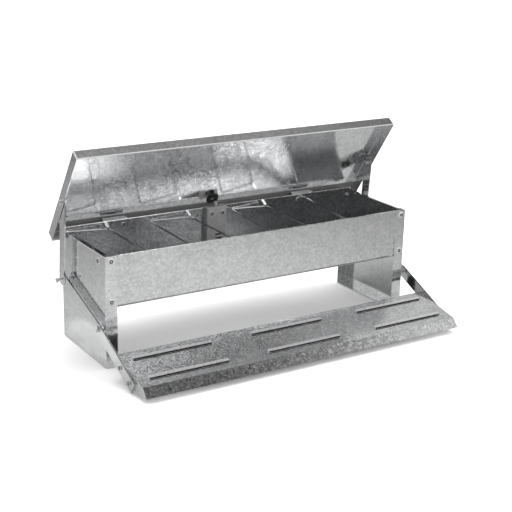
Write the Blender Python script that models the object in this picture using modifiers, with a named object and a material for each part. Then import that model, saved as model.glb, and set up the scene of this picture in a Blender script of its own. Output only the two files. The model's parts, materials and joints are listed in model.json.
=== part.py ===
"""Treadle chicken feeder in galvanised sheet steel, modelled piece by piece.

A feed trough hangs between two flanged end panels. A hinged lid covers it. A hen that steps on the
treadle in front turns two levers, and a link on each side lifts the lid. The feeder is modelled as it
stands with the treadle down and the lid open. X runs along the trough, Y to the back, Z up, in metres.
The origin is on the ground under the middle of the whole outline.
"""
import math

import bmesh
import bpy
from mathutils import Euler, Matrix, Vector

# Body
BODY_LENGTH = 0.600
BODY_DEPTH = 0.168
BODY_HEIGHT = 0.188
PANEL_SHEET = 0.0012
PANEL_FLANGE = 0.021
PANEL_TOP_FLANGE = 0.008
PANEL_FOLD_RADIUS = 0.0015
TOP_FLANGE_NOTCH = 0.010

# Clearances
GAP = 0.0003
OVERRUN = 0.002

# Trough
TROUGH_SHEET = 0.001
TROUGH_DEPTH = 0.088
REAR_WALL_RISE = 0.005
HEM_LENGTH = 0.012
HEM_FOLD_RADIUS = 0.0008
TROUGH_BEND_RADIUS = 0.004
HOOK_WIDTH = 0.005
HOOK_LENGTH = 0.013
HOOK_SET_DOWN = 0.0006

# Feed saver grille, one bent wire
WIRE_DIAMETER = 0.003
WIRE_FIRST = -0.221
WIRE_PITCH = 0.0792
WIRE_RUNS = 6
WIRE_BEND_RADIUS = 0.0042
WIRE_REAR_HEIGHT = 0.183
WIRE_FRONT_HEIGHT = 0.182
WIRE_SLANT = 0.019
WIRE_END_RISE = 0.002
WIRE_BACKSET = 0.011

# Lid, in its own closed frame with the hinge line as origin
LID_SIDE_CLEARANCE = 0.001
LID_SHEET = 0.001
LID_REACH = 0.174
LID_BACK = 0.0227
LID_RISE = 0.0099
LID_LIP = 0.0192
LID_FOLD_RADIUS = 0.002
LID_OPEN_ANGLE = math.radians(56.1)
HINGE_BEHIND_BODY = 0.0014
HINGE_ABOVE_BODY = 0.0045

# Hinges and damper all sit a little left of the middle
REAR_FITTINGS_SHIFT = -0.0065

# Butt hinges
HINGE_SPREAD = 0.194
HINGE_WIDTH = 0.042
HINGE_LEAF = 0.001
PIN_RADIUS = 0.0013
PIN_HEAD_RADIUS = 0.0021
PIN_HEAD = 0.001
MIDDLE_KNUCKLE = 0.017
KNUCKLE_PLAY = 0.0005
KNUCKLE_WRAP = math.radians(285)
BODY_LEAF_DROP = 0.022
LID_LEAF_REACH = 0.018

# Treadle, in a frame with its pivot as origin
PIVOT_BACK = 0.009
PIVOT_HEIGHT = 0.068
ARM_SHEET = 0.003
BAR_WIDTH = 0.020
ARM_REAR_LENGTH = 0.1396
ARM_REAR_SLOPE = math.radians(17.72)
ARM_FRONT_LENGTH = 0.135
ARM_FRONT_SLOPE = math.radians(24.5)
ARM_RIVET_FIRST = 0.0886
ARM_RIVET_SECOND = 0.1227
PLATE_SHEET = 0.0012
PLATE_DEPTH = 0.0949
PLATE_SLOPE = math.radians(11.7)
PLATE_BACK_OFFSET = 0.0572
PLATE_DROP = 0.0243
PLATE_SIDE_FLANGE = 0.020
PLATE_REAR_FLANGE = 0.007
PLATE_LIP = 0.019
PLATE_LIP_BEND = math.radians(35.6)

# Grip louvres pressed into the treadle, each open along its front
BEAD_COLUMNS = 3
BEAD_PITCH = 0.216
BEAD_LENGTH = 0.145
BEAD_WIDTH = 0.009
BEAD_HEIGHT = 0.0038
BEAD_SILL = 0.0003
BEAD_SLOT_DEPTH = 0.0055
BEAD_SLOT_SET_IN = 0.002
BEAD_ROW_SETS = (0.0200, 0.0755)
BEAD_END_SEGMENTS = 5
BEAD_PROFILE_SHARES = ((1.0, 0.0), (0.84, 0.62), (0.40, 1.0))

# Links between the lid and the treadle arms
LINK_SHEET = 0.002
LINK_PIN_FORWARD = 0.0658
LINK_PIN_BELOW = 0.0020
LINK_ARM_GAP = 0.0004

# Bolts, nuts and spacers
PIVOT_BOLT_RADIUS = 0.003
PIVOT_HEAD_FLATS = 0.010
PIVOT_HEAD = 0.004
PIVOT_NUT = 0.005
SPACER_RADIUS = 0.005
SPACER_LENGTH = 0.0064
LINK_BOLT_RADIUS = 0.0025
LINK_HEAD_FLATS = 0.008
LINK_HEAD = 0.0035
LINK_NUT = 0.004
LINK_BOLT_STANDOFF = 0.0063
BOLT_TAIL = 0.0015

# Rivets
RIVET_HEAD_RADIUS = 0.004
RIVET_HEAD = 0.0015
RIVET_RADIUS = 0.002
RIVET_TAIL_RADIUS = 0.0029
RIVET_TAIL = 0.0016
RIVET_DOME_SHARES = ((0.0, 1.0), (0.55, 0.86), (0.90, 0.45), (1.0, 0.0))
PANEL_RIVET_INSET = 0.0105
PANEL_RIVET_TOP_DROP = 0.0085
PANEL_RIVET_PITCH = 0.0675
SIDE_RIVET_BACK = 0.0223
SIDE_RIVET_DROP = 0.0122
HINGE_RIVET_DROP = 0.0090
HINGE_RIVET_INSET = 0.008
LID_RIVET_BACK = 0.0125

# Soft closing damper on the rear wall
DAMPER_WIDTH = 0.039
DAMPER_HEIGHT = 0.075
DAMPER_SHEET = 0.001
DAMPER_TOP_LENGTH = 0.0135
PLUNGER_AHEAD = 0.0098
PLUNGER_RADIUS = 0.0026
PLUNGER_LENGTH = 0.056
PLUNGER_COLLAR_RADIUS = 0.0036
PLUNGER_COLLAR = 0.009
CYLINDER_RADIUS = 0.0037
CYLINDER_LENGTH = 0.055
CYLINDER_FLOOR = 0.003
CYLINDER_TOP_DROP = 0.0154
CAP_RADIUS = 0.0037
CAP_HEIGHT = 0.009
CAP_TOP_RISE = 0.0208
PLUNGER_HOLE_RADIUS = 0.0045
PLUNGER_HOLE_STRETCH = 1.4
DAMPER_SLOT_LENGTH = 0.014
DAMPER_SLOT_WIDTH = 0.003
DAMPER_SLOT_DROP = 0.0518
DAMPER_SLOT_PITCH = 0.0072
DAMPER_SLOT_SHIFT = 0.004
DAMPER_RIVET_SPREAD = 0.011
DAMPER_RIVET_DROP = 0.0118
BUMPER_RADIUS = 0.012
BUMPER_BORE_RADIUS = 0.0045
BUMPER_THICKNESS = 0.0015
BUMPER_DISC_RADIUS = 0.0040
BUMPER_DISC = 0.0008

# Facets
ROUND_SIDES = 16
SMALL_SIDES = 12
HEX_SIDES = 6
BEND_SEGMENTS = 3
END_SEGMENTS = 8
ROLL_SEGMENTS = 12

# Colours, linear
ZINC = (0.60, 0.61, 0.62)
ZINC_BRIGHT = (0.72, 0.73, 0.74)
ZINC_DARK = (0.42, 0.43, 0.44)
RUBBER_BLACK = (0.018, 0.018, 0.019)
PLASTIC_WHITE = (0.78, 0.77, 0.74)

HALF_LENGTH = BODY_LENGTH / 2
PANEL_FACE = HALF_LENGTH
FLOOR_TOP = BODY_HEIGHT - TROUGH_DEPTH
WALL_CENTRE = PANEL_SHEET + GAP + TROUGH_SHEET / 2
REAR_CENTRE = BODY_DEPTH - PANEL_SHEET - GAP - TROUGH_SHEET / 2
REAR_WALL_TOP = BODY_HEIGHT + REAR_WALL_RISE
HEM_THROW = 2 * HEM_FOLD_RADIUS
ARM_INNER = PANEL_FACE + SPACER_LENGTH + 2 * GAP
ARM_OUTER = ARM_INNER + ARM_SHEET
LINK_INNER = ARM_OUTER + LINK_ARM_GAP
LINK_OUTER = LINK_INNER + LINK_SHEET
PLATE_HALF_WIDTH = ARM_INNER - GAP
LID_HALF_WIDTH = LINK_OUTER + LID_SIDE_CLEARANCE + LID_SHEET
HINGE_Y = BODY_DEPTH + HINGE_BEHIND_BODY
HINGE_Z = BODY_HEIGHT + HINGE_ABOVE_BODY
LID_UNDERSIDE = LID_RISE - LID_SHEET
BORE_GAP = GAP
KNUCKLE_RADIUS = PIN_RADIUS + BORE_GAP + HINGE_LEAF


def turned(point, angle):
    """A (y, z) point turned about the origin in the side view, from +Y towards +Z."""
    c, s = math.cos(angle), math.sin(angle)
    return (c * point[0] - s * point[1], s * point[0] + c * point[1])


HINGE = Vector((0, HINGE_Y, HINGE_Z))
PIVOT = Vector((0, PIVOT_BACK, PIVOT_HEIGHT))
LINK_PIN_LOCAL = (-LINK_PIN_FORWARD, -LINK_PIN_BELOW)
LINK_PIN_OPEN = turned(LINK_PIN_LOCAL, -LID_OPEN_ANGLE)
LINK_TOP = Vector((0, HINGE_Y + LINK_PIN_OPEN[0], HINGE_Z + LINK_PIN_OPEN[1]))
ARM_END = turned((ARM_REAR_LENGTH, 0), ARM_REAR_SLOPE)
LINK_BOTTOM = Vector((0, PIVOT_BACK + ARM_END[0], PIVOT_HEIGHT + ARM_END[1]))
LINK_LENGTH = (LINK_BOTTOM - LINK_TOP).length
LINK_LEAN = math.atan2(LINK_BOTTOM.y - LINK_TOP.y, LINK_TOP.z - LINK_BOTTOM.z)

# The plate's line in the side view, from its rear edge to the front bend and down the lip
PLATE_REAR = (-PLATE_BACK_OFFSET, -PLATE_DROP)
PLATE_ALONG = turned((-1, 0), PLATE_SLOPE)
LIP_ALONG = turned((-1, 0), PLATE_SLOPE + PLATE_LIP_BEND)
PLATE_BEND = (PLATE_REAR[0] + PLATE_ALONG[0] * PLATE_DEPTH, PLATE_REAR[1] + PLATE_ALONG[1] * PLATE_DEPTH)
LIP_END = (PLATE_BEND[0] + LIP_ALONG[0] * PLATE_LIP, PLATE_BEND[1] + LIP_ALONG[1] * PLATE_LIP)

# The outline's front is the treadle's lip and its back the open lid's rear corner
OUTLINE_FRONT = PIVOT_BACK + LIP_END[0]
LID_FOLD_CENTRE = (LID_BACK - LID_FOLD_RADIUS, LID_RISE - LID_FOLD_RADIUS)
OUTLINE_BACK = HINGE_Y + turned(LID_FOLD_CENTRE, -LID_OPEN_ANGLE)[0] + LID_FOLD_RADIUS
ORIGIN_SHIFT = -(OUTLINE_FRONT + OUTLINE_BACK) / 2


def clear_scene():
    for old in list(bpy.data.objects):
        bpy.data.objects.remove(old, do_unlink=True)


def new_collection(name):
    group = bpy.data.collections.new(name)
    bpy.context.scene.collection.children.link(group)
    return group


clear_scene()
PARTS = new_collection("treadle_chicken_feeder")
CUTTERS = new_collection("cutters")


def frame_empty(name, location, parent=None, rotation=(0, 0, 0)):
    """An empty that carries the pieces of one moving body, on its joint's axis."""
    empty = bpy.data.objects.new(name, None)
    empty.location = location
    empty.rotation_euler = rotation
    empty.parent = parent
    PARTS.objects.link(empty)
    return empty


def finish(name, colour, roughness, metallic=1.0):
    material = bpy.data.materials.new(name)
    material.use_nodes = True
    shader = material.node_tree.nodes["Principled BSDF"]
    shader.inputs["Base Color"].default_value = (*colour, 1)
    shader.inputs["Roughness"].default_value = roughness
    shader.inputs["Metallic"].default_value = metallic
    material.diffuse_color = (*colour, 1)
    return material


def place(name, data, parent, colour, roughness=0.35, metallic=1.0, location=(0, 0, 0), rotation=(0, 0, 0)):
    piece = bpy.data.objects.new(name, data)
    piece.location = location
    piece.rotation_euler = rotation
    piece.parent = parent
    data.materials.append(finish(name + "_finish", colour, roughness, metallic))
    PARTS.objects.link(piece)
    return piece


def mesh_from(bm, name):
    bmesh.ops.recalc_face_normals(bm, faces=bm.faces)
    mesh = bpy.data.meshes.new(name)
    bm.to_mesh(mesh)
    bm.free()
    return mesh


def box_mesh(name, low, high):
    """A box between two opposite corners."""
    low, high = Vector(low), Vector(high)
    bm = bmesh.new()
    bmesh.ops.create_cube(bm, size=1)
    bmesh.ops.scale(bm, vec=high - low, verts=bm.verts)
    bmesh.ops.translate(bm, vec=(low + high) / 2, verts=bm.verts)
    return mesh_from(bm, name)


def rod_mesh(name, radius, low, high, sides=ROUND_SIDES):
    """A round or hexagonal rod along local Z from low to high."""
    bm = bmesh.new()
    bmesh.ops.create_cone(bm, cap_ends=True, segments=sides, radius1=radius, radius2=radius,
                          depth=high - low)
    bmesh.ops.translate(bm, vec=(0, 0, (low + high) / 2), verts=bm.verts)
    return mesh_from(bm, name)


ALONG_X = Euler((0, math.pi / 2, 0))
ALONG_Y = Euler((-math.pi / 2, 0, 0))
ALONG_Z = Euler((0, 0, 0))
SIDE_VIEW = Euler((math.pi / 2, 0, math.pi / 2))


def cutter(name, mesh, parent, location=(0, 0, 0), rotation=(0, 0, 0)):
    tool = bpy.data.objects.new(name, mesh)
    tool.location = location
    tool.rotation_euler = rotation
    tool.parent = parent
    tool.hide_render = True
    tool.display_type = "WIRE"
    CUTTERS.objects.link(tool)
    return tool


def boolean(piece, tool, operation="DIFFERENCE"):
    modifier = piece.modifiers.new(tool.name, "BOOLEAN")
    modifier.operation = operation
    modifier.solver = "EXACT"
    modifier.object = tool


def cut_box(piece, name, low, high, parent):
    boolean(piece, cutter(name, box_mesh(name, low, high), parent))


def drill(piece, name, centre, radius, depth, rotation, parent, sides=SMALL_SIDES):
    """A round hole through a piece, centred on a point and long enough to pass it on both sides."""
    tool = cutter(name, rod_mesh(name, radius, -depth / 2, depth / 2, sides), parent, centre, rotation)
    boolean(piece, tool)


def solidify(piece, thickness, offset):
    modifier = piece.modifiers.new("sheet", "SOLIDIFY")
    modifier.thickness = thickness
    modifier.offset = offset
    modifier.use_even_offset = True


def round_folds(piece, radius):
    modifier = piece.modifiers.new("folds", "BEVEL")
    modifier.width = radius
    modifier.segments = 2
    modifier.limit_method = "ANGLE"


def arc(centre, radius, start, end, segments):
    """Points on an arc from one angle to another, both ends included."""
    steps = [start + (end - start) * i / segments for i in range(segments + 1)]
    return [(centre[0] + radius * math.cos(a), centre[1] + radius * math.sin(a)) for a in steps]


def turned_piece(name, profile, parent, location, rotation, colour, roughness, metallic=1.0,
                 sides=SMALL_SIDES):
    """A turned solid from (radius, height) points that run from its top to its bottom."""
    bm = bmesh.new()
    verts = [bm.verts.new((r, 0, z)) for r, z in profile]
    for a, b in zip(verts, verts[1:]):
        bm.edges.new((a, b))
    mesh = bpy.data.meshes.new(name)
    bm.to_mesh(mesh)
    bm.free()
    piece = place(name, mesh, parent, colour, roughness, metallic, location, rotation)
    screw = piece.modifiers.new("turn", "SCREW")
    screw.axis = "Z"
    screw.steps = screw.render_steps = sides
    screw.use_merge_vertices = True
    screw.merge_threshold = 0.00001
    screw.use_smooth_shade = False
    return piece


def flat_piece(name, outlines, thickness, parent, location, rotation, colour, roughness):
    """A flat bar cut from sheet: closed outlines in the side view, the first outside, the rest holes."""
    curve = bpy.data.curves.new(name, "CURVE")
    curve.dimensions = "2D"
    curve.fill_mode = "BOTH"
    curve.extrude = thickness / 2
    for points in outlines:
        spline = curve.splines.new("POLY")
        spline.points.add(len(points) - 1)
        for knot, (u, v) in zip(spline.points, points):
            knot.co = (u, v, 0, 1)
        spline.use_cyclic_u = True
    return place(name, curve, parent, colour, roughness, 1.0, location, rotation)


def circle(centre, radius, sides=SMALL_SIDES):
    step = 2 * math.pi / sides
    return [(centre[0] + radius * math.cos(i * step), centre[1] + radius * math.sin(i * step))
            for i in range(sides)]


def build_end_panel(side, body):
    """A tray folded inward on all four edges, with its top flange cut back at both ends."""
    name = "end_panel_" + ("left" if side < 0 else "right")
    bm = bmesh.new()
    bmesh.ops.create_cube(bm, size=1)
    bmesh.ops.scale(bm, vec=(PANEL_FLANGE, BODY_DEPTH, BODY_HEIGHT), verts=bm.verts)
    centre = (side * (PANEL_FACE - PANEL_FLANGE / 2), BODY_DEPTH / 2, BODY_HEIGHT / 2)
    bmesh.ops.translate(bm, vec=centre, verts=bm.verts)
    bm.normal_update()
    inner = [f for f in bm.faces if f.normal.x * side < -0.5]
    bmesh.ops.delete(bm, geom=inner, context="FACES")
    mesh = bpy.data.meshes.new(name)
    bm.to_mesh(mesh)
    bm.free()
    panel = place(name, mesh, body, ZINC, 0.30)
    round_folds(panel, PANEL_FOLD_RADIUS)
    solidify(panel, PANEL_SHEET, -1)

    inside = side * (PANEL_FACE - PANEL_TOP_FLANGE)
    reach = side * (PANEL_FACE - PANEL_FLANGE - OVERRUN)
    flat = side * (PANEL_FACE - PANEL_SHEET)
    under = BODY_HEIGHT - PANEL_SHEET - PANEL_FOLD_RADIUS
    over = BODY_HEIGHT + OVERRUN
    front, back = PANEL_SHEET + GAP, BODY_DEPTH - PANEL_SHEET - GAP
    cut_box(panel, name + "_top_cut", (min(inside, reach), front, under),
            (max(inside, reach), back, over), body)
    for word, low, high in (("front", front, front + TOP_FLANGE_NOTCH),
                            ("rear", back - TOP_FLANGE_NOTCH, back)):
        cut_box(panel, f"{name}_{word}_notch", (min(flat, reach), low, under),
                (max(flat, reach), high, over), body)
    return panel


def panel_rivet_places():
    """Signs, sides and heights of the rivets that hold the trough to the end panels."""
    top = BODY_HEIGHT - PANEL_RIVET_TOP_DROP
    for side in (-1, 1):
        for height_word, height in (("upper", top), ("lower", top - PANEL_RIVET_PITCH)):
            yield side, height_word, height


def trough_profile():
    """The folded sheet's centre line in the side view, from the front hem round to the rear hem."""
    r, bend, hem = HEM_FOLD_RADIUS, TROUGH_BEND_RADIUS, HEM_LENGTH
    front_fold = BODY_HEIGHT - TROUGH_SHEET / 2 - r
    rear_fold = REAR_WALL_TOP - TROUGH_SHEET / 2 - r
    floor = FLOOR_TOP + TROUGH_SHEET / 2
    front, rear = WALL_CENTRE, REAR_CENTRE
    points = [(front + HEM_THROW, front_fold - hem)]
    points += arc((front + r, front_fold), r, 0, math.pi, BEND_SEGMENTS)
    points += arc((front + bend, floor + bend), bend, math.pi, math.pi * 1.5, BEND_SEGMENTS)
    points += arc((rear - bend, floor + bend), bend, math.pi * 1.5, math.pi * 2, BEND_SEGMENTS)
    points += arc((rear - r, rear_fold), r, 0, math.pi, BEND_SEGMENTS)
    points.append((rear - HEM_THROW, rear_fold - hem))
    return points


def build_trough(body):
    """One sheet folded to a trough, with hems on both walls and hooks that hold the grille wire."""
    reach = PANEL_FACE - PANEL_SHEET - GAP
    bm = bmesh.new()
    rows = [[bm.verts.new((x, y, z)) for y, z in trough_profile()] for x in (-reach, reach)]
    for i in range(len(rows[0]) - 1):
        bm.faces.new((rows[0][i], rows[0][i + 1], rows[1][i + 1], rows[1][i]))
    mesh = mesh_from(bm, "trough")
    trough = place("trough", mesh, body, ZINC, 0.38)
    solidify(trough, TROUGH_SHEET, 0)
    hook_back = REAR_CENTRE - HEM_THROW
    root_height = REAR_WALL_TOP - HOOK_SET_DOWN
    over_wire = WIRE_REAR_HEIGHT + WIRE_DIAMETER / 2 + GAP + TROUGH_SHEET
    lean = math.atan2(root_height - over_wire, WIRE_BACKSET)
    for number, x in enumerate(wire_places()):
        if number % 2:
            continue
        name = f"hook_{number}"
        strip = box_mesh(name, (-HOOK_WIDTH / 2, -HOOK_LENGTH, -TROUGH_SHEET), (HOOK_WIDTH / 2, 0, 0))
        tool = cutter(name, strip, body, (x, hook_back, root_height), (lean, 0, 0))
        boolean(trough, tool, "UNION")
    return trough


def wire_places():
    return [WIRE_FIRST + WIRE_PITCH * i for i in range(WIRE_RUNS)]


def rounded_corner(before, corner, after, radius, segments=BEND_SEGMENTS):
    """Points that take a wire round one corner of its route."""
    a, b, c = Vector(before), Vector(corner), Vector(after)
    into, out = (b - a).normalized(), (c - b).normalized()
    half = into.angle(out) / 2
    cut = radius * math.tan(half)
    start, end = b - into * cut, b + out * cut
    centre = b + (out - into).normalized() * (radius / math.cos(half))
    spread = []
    for i in range(segments + 1):
        share = i / segments
        point = start.lerp(end, share)
        spread.append(centre + (point - centre).normalized() * radius)
    return spread


def build_grille(body):
    """The grille: one wire that runs back and forth across the trough's mouth in slanted loops."""
    wall_inside = REAR_CENTRE - HEM_THROW - TROUGH_SHEET / 2
    rear_even = wall_inside - GAP - WIRE_DIAMETER / 2
    rear_odd = rear_even - WIRE_BACKSET
    front = WALL_CENTRE + HEM_THROW + TROUGH_SHEET / 2 + GAP + WIRE_DIAMETER / 2
    left_end = PANEL_SHEET + GAP - PANEL_FACE
    corners = [Vector((left_end, rear_even, WIRE_REAR_HEIGHT + WIRE_END_RISE))]
    for number, x in enumerate(wire_places()):
        fore = Vector((x, front, WIRE_FRONT_HEIGHT))
        if number % 2 == 0:
            corners += [Vector((x, rear_odd, WIRE_REAR_HEIGHT)), fore]
        else:
            slant = WIRE_SLANT * number / (WIRE_RUNS - 1)
            corners += [fore, Vector((x + slant, rear_even, WIRE_REAR_HEIGHT))]
    route = [corners[0]]
    for before, corner, after in zip(corners, corners[1:], corners[2:]):
        route += rounded_corner(before, corner, after, WIRE_BEND_RADIUS)
    route.append(corners[-1])
    curve = bpy.data.curves.new("grille_wire", "CURVE")
    curve.dimensions = "3D"
    curve.bevel_depth = WIRE_DIAMETER / 2
    curve.bevel_resolution = 1
    curve.use_fill_caps = True
    spline = curve.splines.new("POLY")
    spline.points.add(len(route) - 1)
    for knot, point in zip(spline.points, route):
        knot.co = (*point, 1)
    return place("grille_wire", curve, body, ZINC_BRIGHT, 0.28)


def build_lid(lid_frame):
    """A shallow tray, open side down, that turns on the hinge line behind the trough."""
    low = Vector((-LID_HALF_WIDTH, -LID_REACH, LID_RISE - LID_LIP))
    high = Vector((LID_HALF_WIDTH, LID_BACK, LID_RISE))
    bm = bmesh.new()
    bmesh.ops.create_cube(bm, size=1)
    bmesh.ops.scale(bm, vec=high - low, verts=bm.verts)
    bmesh.ops.translate(bm, vec=(low + high) / 2, verts=bm.verts)
    bm.normal_update()
    bmesh.ops.delete(bm, geom=[f for f in bm.faces if f.normal.z < -0.5], context="FACES")
    mesh = bpy.data.meshes.new("lid")
    bm.to_mesh(mesh)
    bm.free()
    lid = place("lid", mesh, lid_frame, ZINC, 0.26)
    round_folds(lid, LID_FOLD_RADIUS)
    solidify(lid, LID_SHEET, -1)
    for side in (-1, 1):
        drill(lid, f"lid_bolt_hole_{side}", (side * LID_HALF_WIDTH, *LINK_PIN_LOCAL),
              LINK_BOLT_RADIUS + BORE_GAP, BAR_WIDTH / 2, ALONG_X, lid_frame)
    return lid


def leaf_mesh(name, columns, plate_rows, roll_rows, rolling):
    """A hinge leaf's middle surface: plate rows over its whole width, then rolls on some strips only."""
    bm = bmesh.new()
    last = None
    for y, z in plate_rows:
        row = [bm.verts.new((x, y, z)) for x in columns]
        if last:
            for i in range(len(columns) - 1):
                bm.faces.new((last[i], last[i + 1], row[i + 1], row[i]))
        last = row
    for strip in rolling:
        edge = (last[strip], last[strip + 1])
        for y, z in roll_rows:
            after = tuple(bm.verts.new((x, y, z)) for x in columns[strip:strip + 2])
            bm.faces.new((edge[0], edge[1], after[1], after[0]))
            edge = after
    return mesh_from(bm, name)


def build_hinges(hinge_frame, lid_frame):
    """Two butt hinges: one leaf behind the rear wall, the other under the lid behind the pin."""
    half, middle = HINGE_WIDTH / 2, MIDDLE_KNUCKLE / 2
    split = middle + KNUCKLE_PLAY
    centre = KNUCKLE_RADIUS - HINGE_LEAF / 2
    clear = KNUCKLE_RADIUS + GAP
    roof = LID_UNDERSIDE - GAP - HINGE_LEAF / 2
    bend = HINGE_LEAF
    body_rows = [(-centre, -BODY_LEAF_DROP), (-centre, -clear)]
    body_roll = arc((0, 0), centre, math.pi, math.pi - KNUCKLE_WRAP, ROLL_SEGMENTS)
    lid_rows = [(LID_LEAF_REACH, roof)]
    lid_rows += arc((centre + bend, roof - bend), bend, math.pi / 2, math.pi, BEND_SEGMENTS)
    lid_rows.append((centre, clear))
    lid_roll = arc((0, 0), centre, 0, -KNUCKLE_WRAP, ROLL_SEGMENTS)
    for side, word in ((-1, "left"), (1, "right")):
        x = REAR_FITTINGS_SHIFT + side * HINGE_SPREAD
        name = "hinge_leaf_body_" + word
        mesh = leaf_mesh(name, (-half, -split, split, half), body_rows, body_roll, (0, 2))
        body_leaf = place(name, mesh, hinge_frame, ZINC_DARK, 0.4, location=(x, 0, 0))
        solidify(body_leaf, HINGE_LEAF, 0)
        name = "hinge_leaf_lid_" + word
        mesh = leaf_mesh(name, (-half, -middle, middle, half), lid_rows, lid_roll, (1,))
        lid_leaf = place(name, mesh, lid_frame, ZINC_DARK, 0.4, location=(x, 0, 0))
        solidify(lid_leaf, HINGE_LEAF, 0)
        rivet_x = x - side * (half - HINGE_RIVET_INSET)
        drill(body_leaf, f"hinge_hole_{word}", (rivet_x, -centre, -HINGE_RIVET_DROP),
              RIVET_RADIUS + BORE_GAP, KNUCKLE_RADIUS, ALONG_Y, hinge_frame)
        drill(lid_leaf, f"lid_leaf_hole_{word}", (x, LID_RIVET_BACK, roof),
              RIVET_RADIUS + BORE_GAP, LID_RISE, ALONG_Z, lid_frame)
        reach = half + GAP
        pin = [(0, reach + PIN_HEAD), (PIN_HEAD_RADIUS, reach + PIN_HEAD), (PIN_HEAD_RADIUS, reach),
               (PIN_RADIUS, reach), (PIN_RADIUS, -reach), (PIN_HEAD_RADIUS, -reach),
               (PIN_HEAD_RADIUS, -reach - PIN_HEAD), (0, -reach - PIN_HEAD)]
        turned_piece("hinge_pin_" + word, pin, hinge_frame, (x, 0, 0), ALONG_X, ZINC_BRIGHT, 0.3)


def rivet(name, parent, location, rotation, grip):
    """A dome headed rivet: its head's underside at the origin, its shank through the sheets below."""
    profile = [(RIVET_HEAD_RADIUS * r, GAP + RIVET_HEAD * z) for r, z in RIVET_DOME_SHARES]
    end = -grip - GAP
    profile += [(RIVET_RADIUS, GAP), (RIVET_RADIUS, end), (RIVET_TAIL_RADIUS, end),
                (RIVET_TAIL_RADIUS, end - RIVET_TAIL), (0, end - RIVET_TAIL)]
    return turned_piece(name, profile, parent, location, rotation, ZINC_BRIGHT, 0.22)


FACE_FRONT = Euler((math.pi / 2, 0, 0))
FACE_BACK = Euler((-math.pi / 2, 0, 0))


def face_side(side):
    """Rotation that turns a fastener's head outward on the left or right."""
    return Euler((0, side * math.pi / 2, 0))


def build_panel_rivets(body, panels, trough):
    """Rivets through the end panels' front and rear flanges and the trough's walls."""
    lower_grip = PANEL_SHEET + GAP + TROUGH_SHEET
    hole = RIVET_RADIUS + BORE_GAP
    for side, height_word, height in panel_rivet_places():
        grip = lower_grip + (HEM_THROW if height_word == "upper" else 0)
        word = "left" if side < 0 else "right"
        x = side * (PANEL_FACE - PANEL_RIVET_INSET)
        for end_word, y, facing in (("front", 0, FACE_FRONT), ("rear", BODY_DEPTH, FACE_BACK)):
            name = f"{end_word}_rivet_{word}_{height_word}"
            for target in (panels[side], trough):
                drill(target, f"{name}_hole_{target.name}", (x, y, height), hole, BAR_WIDTH / 2,
                      ALONG_Y, body)
            rivet(name, body, (x, y, height), facing, grip)


def build_side_rivets(body, panels):
    """A rivet high on each end panel's outside, near the front."""
    for side in (-1, 1):
        word = "left" if side < 0 else "right"
        place_at = (side * PANEL_FACE, SIDE_RIVET_BACK, BODY_HEIGHT - SIDE_RIVET_DROP)
        drill(panels[side], f"side_hole_{word}", place_at, RIVET_RADIUS + BORE_GAP, BAR_WIDTH / 2,
              ALONG_X, body)
        rivet(f"side_rivet_{word}", body, place_at, face_side(side), PANEL_SHEET)


def build_hinge_rivets(body, lid_frame, trough, lid):
    grip = HEM_THROW + TROUGH_SHEET + GAP + HINGE_LEAF
    lid_grip = LID_SHEET + GAP + HINGE_LEAF
    wall_face = REAR_CENTRE - HEM_THROW - TROUGH_SHEET / 2
    hole = RIVET_RADIUS + BORE_GAP
    for side, word in ((-1, "left"), (1, "right")):
        hinge_x = REAR_FITTINGS_SHIFT + side * HINGE_SPREAD
        x = hinge_x - side * (HINGE_WIDTH / 2 - HINGE_RIVET_INSET)
        spot = (x, wall_face, HINGE_Z - HINGE_RIVET_DROP)
        drill(trough, f"wall_hinge_hole_{word}", spot, hole, BAR_WIDTH / 2, ALONG_Y, body)
        rivet(f"hinge_rivet_body_{word}", body, spot, FACE_FRONT, grip)
        spot = (hinge_x, LID_RIVET_BACK, LID_RISE)
        drill(lid, f"lid_hinge_hole_{word}", spot, hole, LID_RISE, ALONG_Z, lid_frame)
        rivet(f"hinge_rivet_lid_{word}", lid_frame, spot, ALONG_Z, lid_grip)


def arm_outline():
    """A bar with a slight bend at its pivot: square at the treadle, round at the link."""
    half = BAR_WIDTH / 2
    rear, front = ARM_REAR_SLOPE, ARM_FRONT_SLOPE
    upper, lower = math.pi / 2 + (rear + front) / 2, -math.pi / 2 + (rear + front) / 2
    elbow = half / math.cos((front - rear) / 2)
    points = arc(ARM_END, half, rear - math.pi / 2, rear + math.pi / 2, END_SEGMENTS)
    points.append((elbow * math.cos(upper), elbow * math.sin(upper)))
    for offset in (half, -half):
        points.append(turned((-ARM_FRONT_LENGTH, offset), front))
    points.append((elbow * math.cos(lower), elbow * math.sin(lower)))
    return points


def arm_rivet_places():
    return [turned((-reach, 0), ARM_FRONT_SLOPE) for reach in (ARM_RIVET_FIRST, ARM_RIVET_SECOND)]


def build_arm(side, treadle_frame):
    word = "left" if side < 0 else "right"
    holes = [circle((0, 0), PIVOT_BOLT_RADIUS + BORE_GAP),
             circle(ARM_END, LINK_BOLT_RADIUS + BORE_GAP)]
    holes += [circle(spot, RIVET_RADIUS + BORE_GAP) for spot in arm_rivet_places()]
    x = side * (ARM_INNER + ARM_SHEET / 2)
    arm = flat_piece("treadle_arm_" + word, [arm_outline()] + holes, ARM_SHEET, treadle_frame,
                     (x, 0, 0), SIDE_VIEW, ZINC, 0.3)
    for number, (y, z) in enumerate(arm_rivet_places()):
        rivet(f"arm_rivet_{word}_{number + 1}", treadle_frame, (side * ARM_OUTER, y, z),
              face_side(side), ARM_SHEET + GAP + PLATE_SHEET)
    return arm


def bead_ring(bm, half_run, radius, height):
    """One closed ring of a bead's form: a long outline with round ends."""
    ring = []
    for sign, start in ((1, -math.pi / 2), (-1, math.pi / 2)):
        for x, y in arc((sign * half_run, 0), radius, start, start + math.pi, BEAD_END_SEGMENTS):
            ring.append(bm.verts.new((x, y, height)))
    return ring


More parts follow.
